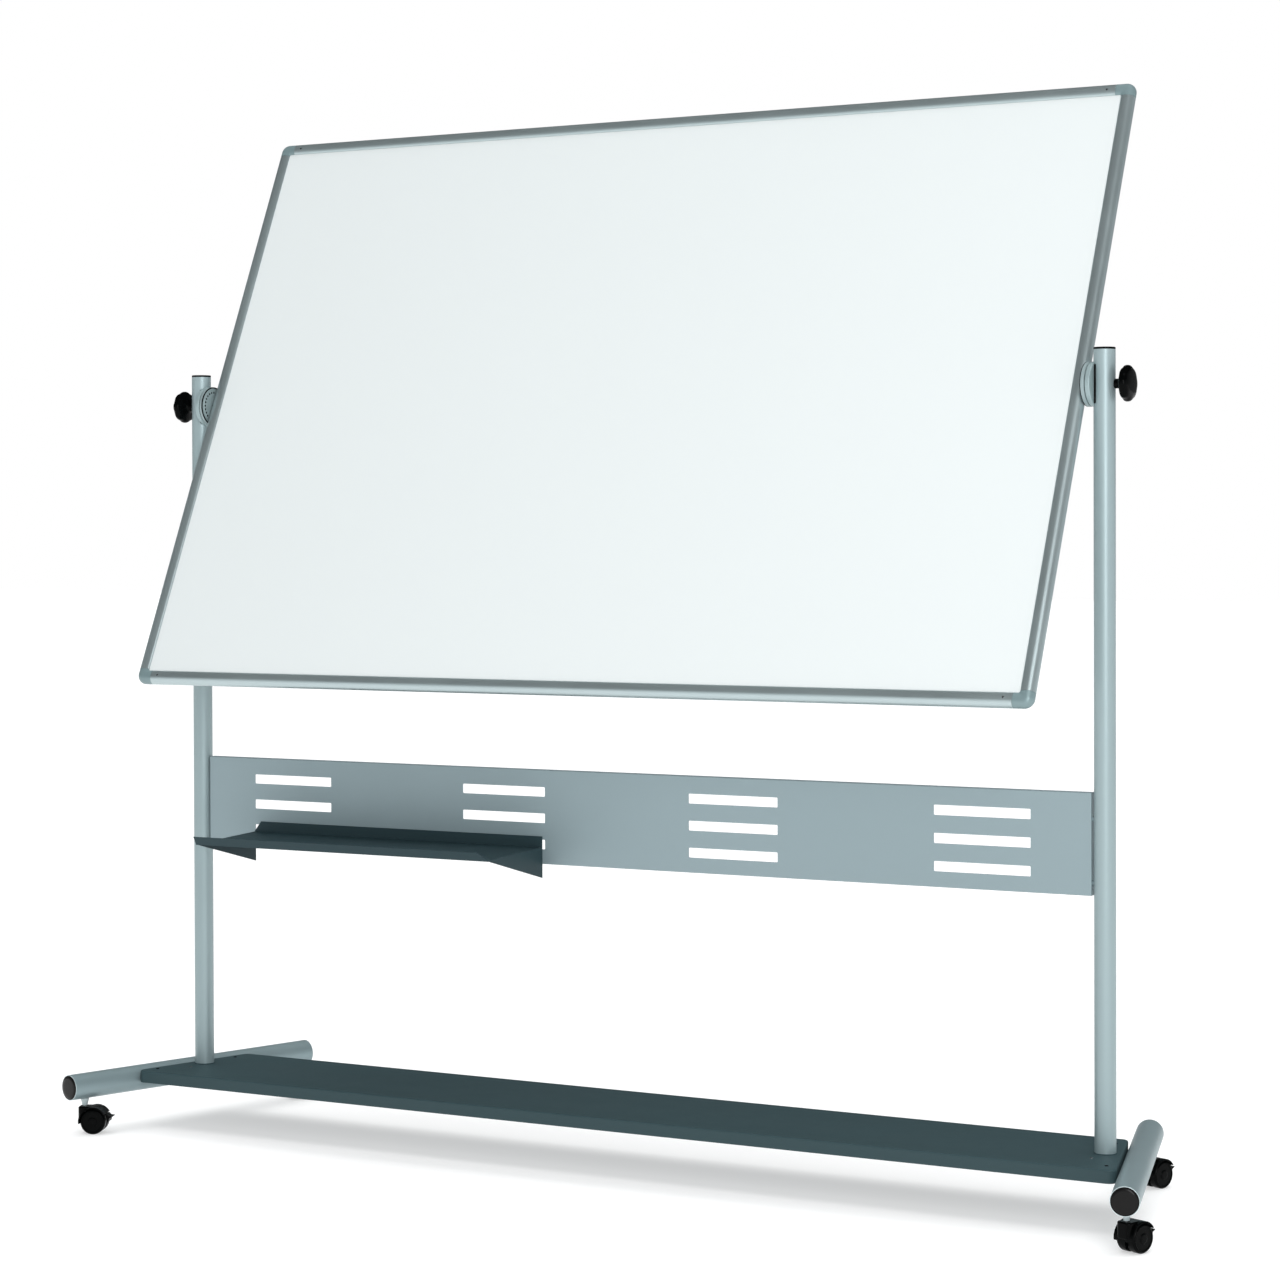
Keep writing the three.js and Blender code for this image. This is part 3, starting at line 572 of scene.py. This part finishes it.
TOP, SHEET, FOLD, EDGE = 114.4, 2.5, 3.4, 90.9
levels = [(0.3, EDGE), (0.0, EDGE + 0.3), (0.0, TOP - FOLD)]
levels += [(FOLD * (1 - math.cos(math.radians(15 * i))), TOP - FOLD * (1 - math.sin(math.radians(15 * i)))) for i in range(1, 7)]
inner = [(SHEET - 0.3, EDGE), (SHEET, EDGE + 0.3), (SHEET, TOP - FOLD), (SHEET + 0.3, TOP - SHEET - 0.3), (SHEET + 0.9, TOP - SHEET)]
verts, faces = [], []
rings = []
for inset, z in list(reversed(inner)) + levels:
    loop = plate_outline(inset)
    rings.append(range(len(verts), len(verts) + len(loop)))
    verts += [(x, y + CY, z) for x, y in loop]
for p, q in zip(rings, rings[1:]):
    n = len(p)
    faces += [(p[i], p[(i + 1) % n], q[(i + 1) % n], q[i]) for i in range(n)]
faces += [tuple(rings[0]), tuple(reversed(rings[-1]))]
plate = make("folded_base_plate", verts, faces)
place(smooth(plate, 32), "stand", slate, nodes=["base_plate"])


def screw(name, at, normal, body, r=3.6, h=1.3, mat=None, recess=True):
    """A pan-head screw with a cross recess, its head's underside at the given point, in millimetres."""
    n = Vector(normal).normalized()
    rot = n.to_track_quat("Z", "Y").to_matrix().to_4x4()
    m = Matrix.Translation(Vector(at) * MM) @ rot
    head = lathe(name, [(0, 0), (r, 0), (r, h * 0.35), (r * 0.92, h * 0.75), (r * 0.7, h), (r * 0.3, h), (0, h)], 40, matrix=m)
    if recess:
        tools = []
        for turn in (0, 90):
            c = block("slotcut", -r * 0.62, r * 0.62, -r * 0.13, r * 0.13, h * 0.45, h * 1.4, m @ Matrix.Rotation(math.radians(turn + 20), 4, "Z"))
            tools.append(c)
        boolean(head, tools)
    return place(smooth(head, 35), body, mat or steel)


for side, s in (("left", -1), ("right", 1)):
    for k, (dx, y, r) in enumerate(((20, -100, 3.4), (20, 84, 3.4), (52, -52, 3.0))):
        x = s * (endx(y, 0.3) - dx)
        screw(f"{side}_plate_screw_{k + 1}", (x, y + CY, 114.4), (0, 0, 1), "stand", r, 1.1, mat=steel if k == 2 else black)

# ---------------------------------------------------------------- board
for node, mat in (("board_core", chipboard), ("front_writing_surface", enamel), ("back_writing_surface", enamel),
                  ("left_pivot_bolt", steel), ("right_pivot_bolt", steel)):
    o = NODES[node]
    o.data.materials.clear()
    o.data.materials.append(mat)

G, R, W25 = 7.4, 12.5, 25.0


def brow(t):
    """Distance in from the outer edge, and height from the panel's middle, on the inner half of the rounded face."""
    t = math.radians(t)
    return R + R * math.sin(t), G + 0.15 + (R - G - 0.15) * math.cos(t)


inner_half = [brow(t) for t in range(6, 91, 7)]
section = (arc(R, 0, R, 90, 270, 32) + [(a, -h) for a, h in inner_half] + [(24.85, -G - 0.02), (24.5, -G + 0.02), (13.5, -G + 0.02), (13.5, G - 0.02), (24.5, G - 0.02), (24.85, G + 0.02)]
           + [(a, h) for a, h in reversed(inner_half)])
lx, lz = BW - 36.3, BH - 28.3
pieces = (("frame_top", lambda a, b, h: (h, b, BH - a), -lx, lx, alu_x), ("frame_bottom", lambda a, b, h: (h, b, -BH + a), -lx, lx, alu_x),
          ("frame_right", lambda a, b, h: (BW - a, b, h), -lz, lz, alu_z), ("frame_left", lambda a, b, h: (-BW + a, b, h), -lz, lz, alu_z))
for node, to3, h0, h1, mat in pieces:
    o = extrude(node + "_profile", section, h0, h1, to3, BOARD)
    place(smooth(o, 30), "board", mat, nodes=[node])

# corner caps: the bead runs round the corner, and the two flanges meet with a small fillet


def corner_cap(name, sx, sz):
    n_t = 12

    def outline(inset):
        """The outer edge moved in, from the long arm's end round to the short arm's end."""
        r = 18 - inset
        pts = [(36, inset)] + [(18 + (-r) * math.sin(t), 18 - r * math.cos(t)) for t in [math.radians(90 * i / 20) for i in range(21)]] + [(inset, 28)]
        return pts

    loops = []
    for i in range(-n_t, n_t + 1):
        t = math.radians(90 * i / n_t)
        loops.append([(a, R * math.sin(t), b) for a, b in outline(R * (1 - math.cos(t)))])
    # inner half of the face, front and back, down to the panel
    inner = [(36, 25)] + [(28 - 3 * math.sin(t), 28 - 3 * math.cos(t)) for t in [math.radians(90 * i / 20) for i in range(21)]] + [(25, 28.0)]
    outer = outline(R)
    k = len(outer)
    front = []
    for t in (12, 24, 36, 48, 60, 72, 82, 90):
        u, h = (brow(t)[0] - R) / R, brow(t)[1]
        front.append([(p[0] * (1 - u) + q[0] * u, -h, p[1] * (1 - u) + q[1] * u) for p, q in zip(outer, inner)])
    front.append([(a, -G, b) for a, b in inner])
    seq = list(reversed(front)) + loops + [[(a, -y, b) for a, y, b in loop] for loop in front]
    # groove for the panel: in to the floor and back
    gr = outline(14.2)
    seq = [[(a, -G, b) for a, b in gr]] + seq + [[(a, G, b) for a, b in gr]]
    verts, faces = [], []
    for loop in seq:
        for a, y, b in loop:
            verts.append((sx * (BW - a), y, sz * (BH - b)))
    m = len(seq)
    for i in range(m):
        j = (i + 1) % m
        for q in range(k - 1):
            faces.append((i * k + q, i * k + q + 1, j * k + q + 1, j * k + q))
    faces.append(tuple(i * k for i in range(m)))
    faces.append(tuple(i * k + k - 1 for i in range(m - 1, -1, -1)))
    return make(name, verts, faces, BOARD)


for v, sz in (("top", 1), ("bottom", -1)):
    for h, sx in (("right", 1), ("left", -1)):
        o = corner_cap(f"corner_piece_{v}_{h}", sx, sz)
        place(smooth(o, 32), "board", grey, nodes=[f"corner_cap_{v}_{h}"])
        # a small screw in the long flange, front and back, holds the corner
        for face, d in (("front", -1), ("back", 1)):
            p = BOARD @ (Vector((sx * (BW - 52), d * 12.3, sz * (BH - 14.5))) * MM)
            nrm = BOARD.to_3x3() @ Vector((0, d, 0))
            screw(f"corner_screw_{v}_{h}_{face}", tuple(p / MM), nrm, "board", 2.2, 0.7)

# ---------------------------------------------------------------- feet
for side, s in (("left", -1), ("right", 1)):
    foot = Matrix.Translation(Vector((s * 1027, CY, 93.7)) * MM) @ Matrix.Rotation(s * SPLAY, 4, "Z")
    tube = lathe(f"{side}_foot_tube", [(23, -269.6), (23.4, -270), (24.5, -270), (25, -269.5), (25, -120), (25, 20), (25, 200), (25, 315.5), (24.5, 316), (23.4, 316), (23, 315.6)],
                 112, axis="Y", matrix=foot, closed=True)
    place(smooth(tube, 40), "stand", shaded_foot_silver, nodes=[f"{side}_foot"])
    for end, y, d in (("front", -270, -1), ("rear", 316, 1)):
        prof = [(0, y - d * 13), (22.2, y - d * 13), (22.5, y - d * 12), (22.5, y + d * 0.32), (23.7, y + d * 0.32), (23.9, y + d * 0.5), (23.9, y + d * 0.95), (23.6, y + d * 1.15), (22.9, y + d * 1.15),
                (22.5, y + d * 0.75), (22.1, y + d * 0.75)]
        prof += [(21.9 - 7.4 * (1 - math.cos(math.radians(9 * i))), y + d * (0.85 + 1.95 * math.sin(math.radians(9 * i)))) for i in range(11)]
        prof += [(9, y + d * 2.93), (0, y + d * 2.98)]
        plug = lathe(f"{side}_{end}_foot_plug", prof, 96, axis="Y", matrix=foot)
        place(smooth(plug, 28), "stand", cap_brown, nodes=[f"{side}_{end}_foot_cap"])
        # a pale ring on the tube's cut edge: painted highlight
        prof = [(24.0, y + d * 0.02), (24.7, y + d * 0.02), (24.95, y + d * 0.25), (24.8, y + d * 0.5), (24.4, y + d * 0.6), (24.0, y + d * 0.5)]
        cut = lathe(f"{side}_{end}_tube_cut_edge", prof, 112, axis="Y", matrix=foot, closed=True)
        place(smooth(cut, 40), "stand", cut_edge_highlight_paint)
        yy = y - d * 36
        b = -25.3
        prof = [(4.3, 55.3 - 93.7), (4.6, 55 - 93.7), (5.0, 55 - 93.7), (5.3, 55.4 - 93.7), (5.9, 60 - 93.7), (7.9, b - 1.9), (8, b - 1.5), (8, b), (6.6, b), (6.6, b + 13.6), (6.2, b + 14), (4.3, b + 14)]
        sock = lathe(f"{side}_{end}_caster_socket", prof, 56, matrix=foot @ Matrix.Translation(Vector((0, yy, 0)) * MM), closed=True)
        place(smooth(sock, 32), "stand", socket_grey, nodes=[f"{side}_{end}_socket"])

# ---------------------------------------------------------------- casters
for name, (s, e, heading) in CASTERS.items():
    along = -234.0 if e < 0 else 280.0
    at = Matrix.Translation(Vector((s * (1027 - along * math.sin(SPLAY)), along * math.cos(SPLAY) + CY, 0)) * MM) @ Matrix.Rotation(math.radians(heading), 4, "Z")
    stem = lathe(f"{name}_stem_rod", [(0, 42.4), (3.7, 42.4), (4, 42.7), (4, 70), (4, 79), (3, 80), (0, 80)], 40, matrix=at)
    place(smooth(stem, 30), f"{name}_swivel", steel, nodes=[f"{name}_caster_stem"])
    o = NODES[f"{name}_caster_axle"]
    o.data.materials.clear()
    o.data.materials.append(steel)
    # hood: arch over the twin wheels, web between them, boss under the stem
    hood = lathe(f"{name}_hood_shell", [(0, -21.5), (27.4, -21.5), (28.5, -21.0), (29, -20), (29, 20), (28.5, 21.0), (27.4, 21.5), (0, 21.5)], 128, axis="Y",
                 matrix=at @ Matrix.Translation(Vector((20, 0, 25)) * MM))
    boss = extrude("boss", rounded([(-11, -15), (20, -15), (20, 15), (-11, 15)], [8, 0, 0, 8], 6), 25, 54, lambda a, b, h: (a, b, h), at)
    bevel(boss, 3.0, 4, 40)
    boolean(hood, [boss], "UNION")
    tools = []
    for d in (-1, 1):
        prof = [(0, d * 3.7), (26.4, d * 3.7), (26.4, d * 30), (0, d * 30)]
        tools.append(lathe("gap", prof, 128, axis="Y", matrix=at @ Matrix.Translation(Vector((20, 0, 25)) * MM)))
        low = [(-40, -10), (70, -10), (70, 40.5), (42, 40.5), (30, 16), (-12, 22), (-40, 22)]
        tools.append(extrude("low", low, d * 3.7, d * 40, lambda a, b, h: (a, h, b), at))
    web = [(-40, -10), (70, -10), (70, 40.5), (42, 40.5), (40, 12), (-12, 12), (-40, 22)]
    tools.append(extrude("web", web, -4, 4, lambda a, b, h: (a, h, b), at))
    tools.append(lathe("stemhole", [(0, 41.5), (4.3, 41.5), (4.3, 60), (0, 60)], 40, matrix=at))
    tools.append(lathe("axlehole", [(0, -10), (3.3, -10), (3.3, 10), (0, 10)], 32, axis="Y", matrix=at @ Matrix.Translation(Vector((20, 0, 25)) * MM)))
    boolean(hood, tools)
    place(smooth(hood, 30), f"{name}_swivel", black, nodes=[f"{name}_caster_hood"])
    for w, d in (("a", -1), ("b", 1)):
        prof = [(0, 20.45), (3.3, 20.4), (3.3, 4.2), (9, 4.2), (9.3, 4.8), (21.5, 4.8), (21.8, 4.2), (23.8, 4.2), (24.7, 4.7), (25, 5.8), (25, 16.6), (24.7, 17.4), (22.6, 20.0), (21.8, 20.5), (20.8, 20.6), (20.2, 20.2), (19.6, 19.2), (18.6, 18.9),
                (9.0, 19.3), (8.2, 20.4), (7.4, 20.85), (5, 20.98), (0, 21)]
        wheel = lathe(f"{name}_wheel_{w}_rim", [(r, d * y) for r, y in prof], 96, axis="Y", matrix=at @ Matrix.Translation(Vector((20, 0, 25)) * MM))
        place(smooth(wheel, 30), f"{name}_wheel_{w}", wheel_black, nodes=[f"{name}_wheel_{w}"])
    lever = copy_of(f"{name}_brake_lever", f"{name}_brake_pedal")
    bevel(lever, 0.5, 3, 20)
    place(smooth(lever, 35), f"{name}_brake", black, nodes=[f"{name}_brake_lever"])

# ---------------------------------------------------------------- camera
yaw, pitch, roll = math.radians(28.713), math.radians(0.747), math.radians(-0.165)
look = Vector((-math.sin(yaw) * math.cos(pitch), math.cos(yaw) * math.cos(pitch), -math.sin(pitch)))
right = Vector((math.cos(yaw), math.sin(yaw), 0))
up = right.cross(look)
rr = math.cos(roll) * right + math.sin(roll) * up
uu = -math.sin(roll) * right + math.cos(roll) * up
cam_data = bpy.data.cameras.new("camera")
cam_data.sensor_width = 36
cam_data.lens = 3121.98 / 1280 * 36
cam_data.shift_x = (640 - 689.90) / 1280
cam_data.shift_y = (564.09 - 640) / 1280
cam_data.clip_end = 200
cam = bpy.data.objects.new("camera", cam_data)
scene.collection.objects.link(cam)
cam.matrix_world = Matrix(((rr.x, uu.x, -look.x, 2.926205), (rr.y, uu.y, -look.y, -5.082204), (rr.z, uu.z, -look.z, 1.203879), (0, 0, 0, 1)))
scene.camera = cam

# ---------------------------------------------------------------- floor, world and lights
floor = make("floor", [(-40000, -40000, 0), (40000, -40000, 0), (40000, 40000, 0), (-40000, 40000, 0)], [(0, 1, 2, 3)])
fm = bpy.data.materials.new("pale floor")
fm.use_nodes = True
fb = next(n for n in fm.node_tree.nodes if n.type == "BSDF_PRINCIPLED")
fb.inputs["Base Color"].default_value = (0.55, 0.55, 0.55, 1)
fb.inputs["Emission Color"].default_value = (1, 1, 1, 1)
fb.inputs["Emission Strength"].default_value = 0.5
fb.inputs["Roughness"].default_value = 0.9
fb.inputs["Specular IOR Level"].default_value = 0.1
floor.data.materials.append(fm)

world = bpy.data.worlds.new("studio")
scene.world = world
world.use_nodes = True
wn, wl = world.node_tree.nodes, world.node_tree.links
wn.clear()
out = wn.new("ShaderNodeOutputWorld")
bg = wn.new("ShaderNodeBackground")
bg2 = wn.new("ShaderNodeBackground")
mixs = wn.new("ShaderNodeMixShader")
lp = wn.new("ShaderNodeLightPath")
tcw = wn.new("ShaderNodeTexCoord")
sep = wn.new("ShaderNodeSeparateXYZ")
wl.new(tcw.outputs["Generated"], sep.inputs["Vector"])


def wmath(op, a, b=None, c=None):
    n = wn.new("ShaderNodeMath")
    n.operation = op
    for i, v in enumerate((a, b, c)):
        if v is None:
            continue
        if isinstance(v, (int, float)):
            n.inputs[i].default_value = v
        else:
            wl.new(v, n.inputs[i])
    return n.outputs[0]


def wrange(v, a, b, c, d):
    n = wn.new("ShaderNodeMapRange")
    n.interpolation_type = "SMOOTHSTEP"
    wl.new(v, n.inputs["Value"])
    n.inputs["From Min"].default_value = a
    n.inputs["From Max"].default_value = b
    n.inputs["To Min"].default_value = c
    n.inputs["To Max"].default_value = d
    return n.outputs["Result"]


# brightest towards the front, dimmer behind and overhead; reflections see a darker ceiling than the diffuse light does
front_dot = wmath("ADD", wmath("MULTIPLY", sep.outputs["X"], 0.45), wmath("MULTIPLY", sep.outputs["Y"], -0.89))
azimuth = wrange(front_dot, -0.9, 0.9, 0.22, 0.80)
height = wrange(sep.outputs["Z"], 0.48, 0.66, 1.0, 0.35)
ceiling = wrange(sep.outputs["Z"], 0.17, 0.42, 1.0, 0.05)
seen = wmath("ADD", height, wmath("MULTIPLY", lp.outputs["Is Glossy Ray"], wmath("SUBTRACT", ceiling, height)))
wl.new(wmath("MULTIPLY", azimuth, seen), bg.inputs["Strength"])
bg.inputs["Color"].default_value = (0.94, 0.98, 1.0, 1)
bg2.inputs["Color"].default_value = (1, 1, 1, 1)
bg2.inputs["Strength"].default_value = 1.0
wl.new(lp.outputs["Is Camera Ray"], mixs.inputs["Fac"])
wl.new(bg.outputs[0], mixs.inputs[1])
wl.new(bg2.outputs[0], mixs.inputs[2])
wl.new(mixs.outputs[0], out.inputs["Surface"])


def sun(name, direction, strength, angle, glossy=False):
    d = bpy.data.lights.new(name, "SUN")
    d.energy = strength
    d.angle = math.radians(angle)
    o = bpy.data.objects.new(name, d)
    scene.collection.objects.link(o)
    o.rotation_mode = "QUATERNION"
    o.rotation_quaternion = Vector(direction).to_track_quat("-Z", "Y")
    o.visible_glossy = glossy
    return o


sun("overhead", (0.0, -0.12, -1), 3.1, 75)


def softbox(name, at, target, w, h, power):
    d = bpy.data.lights.new(name, "AREA")
    d.shape = "RECTANGLE"
    d.size, d.size_y = w, h
    d.energy = power
    o = bpy.data.objects.new(name, d)
    scene.collection.objects.link(o)
    o.location = at
    o.rotation_mode = "QUATERNION"
    o.rotation_quaternion = (Vector(target) - Vector(at)).to_track_quat("-Z", "Y")
    return o


softbox("key", (3.7, -4.5, 2.7), (0, 0, 1.6), 1.3, 3.6, 120)
softbox("low front", (1.35, -2.75, 2.95), (0.95, -0.1, 1.0), 1.2, 1.0, 8)

scene.view_settings.view_transform = "Standard"
scene.view_settings.look = "None"
scene.view_settings.exposure = 0
scene.view_settings.gamma = 1
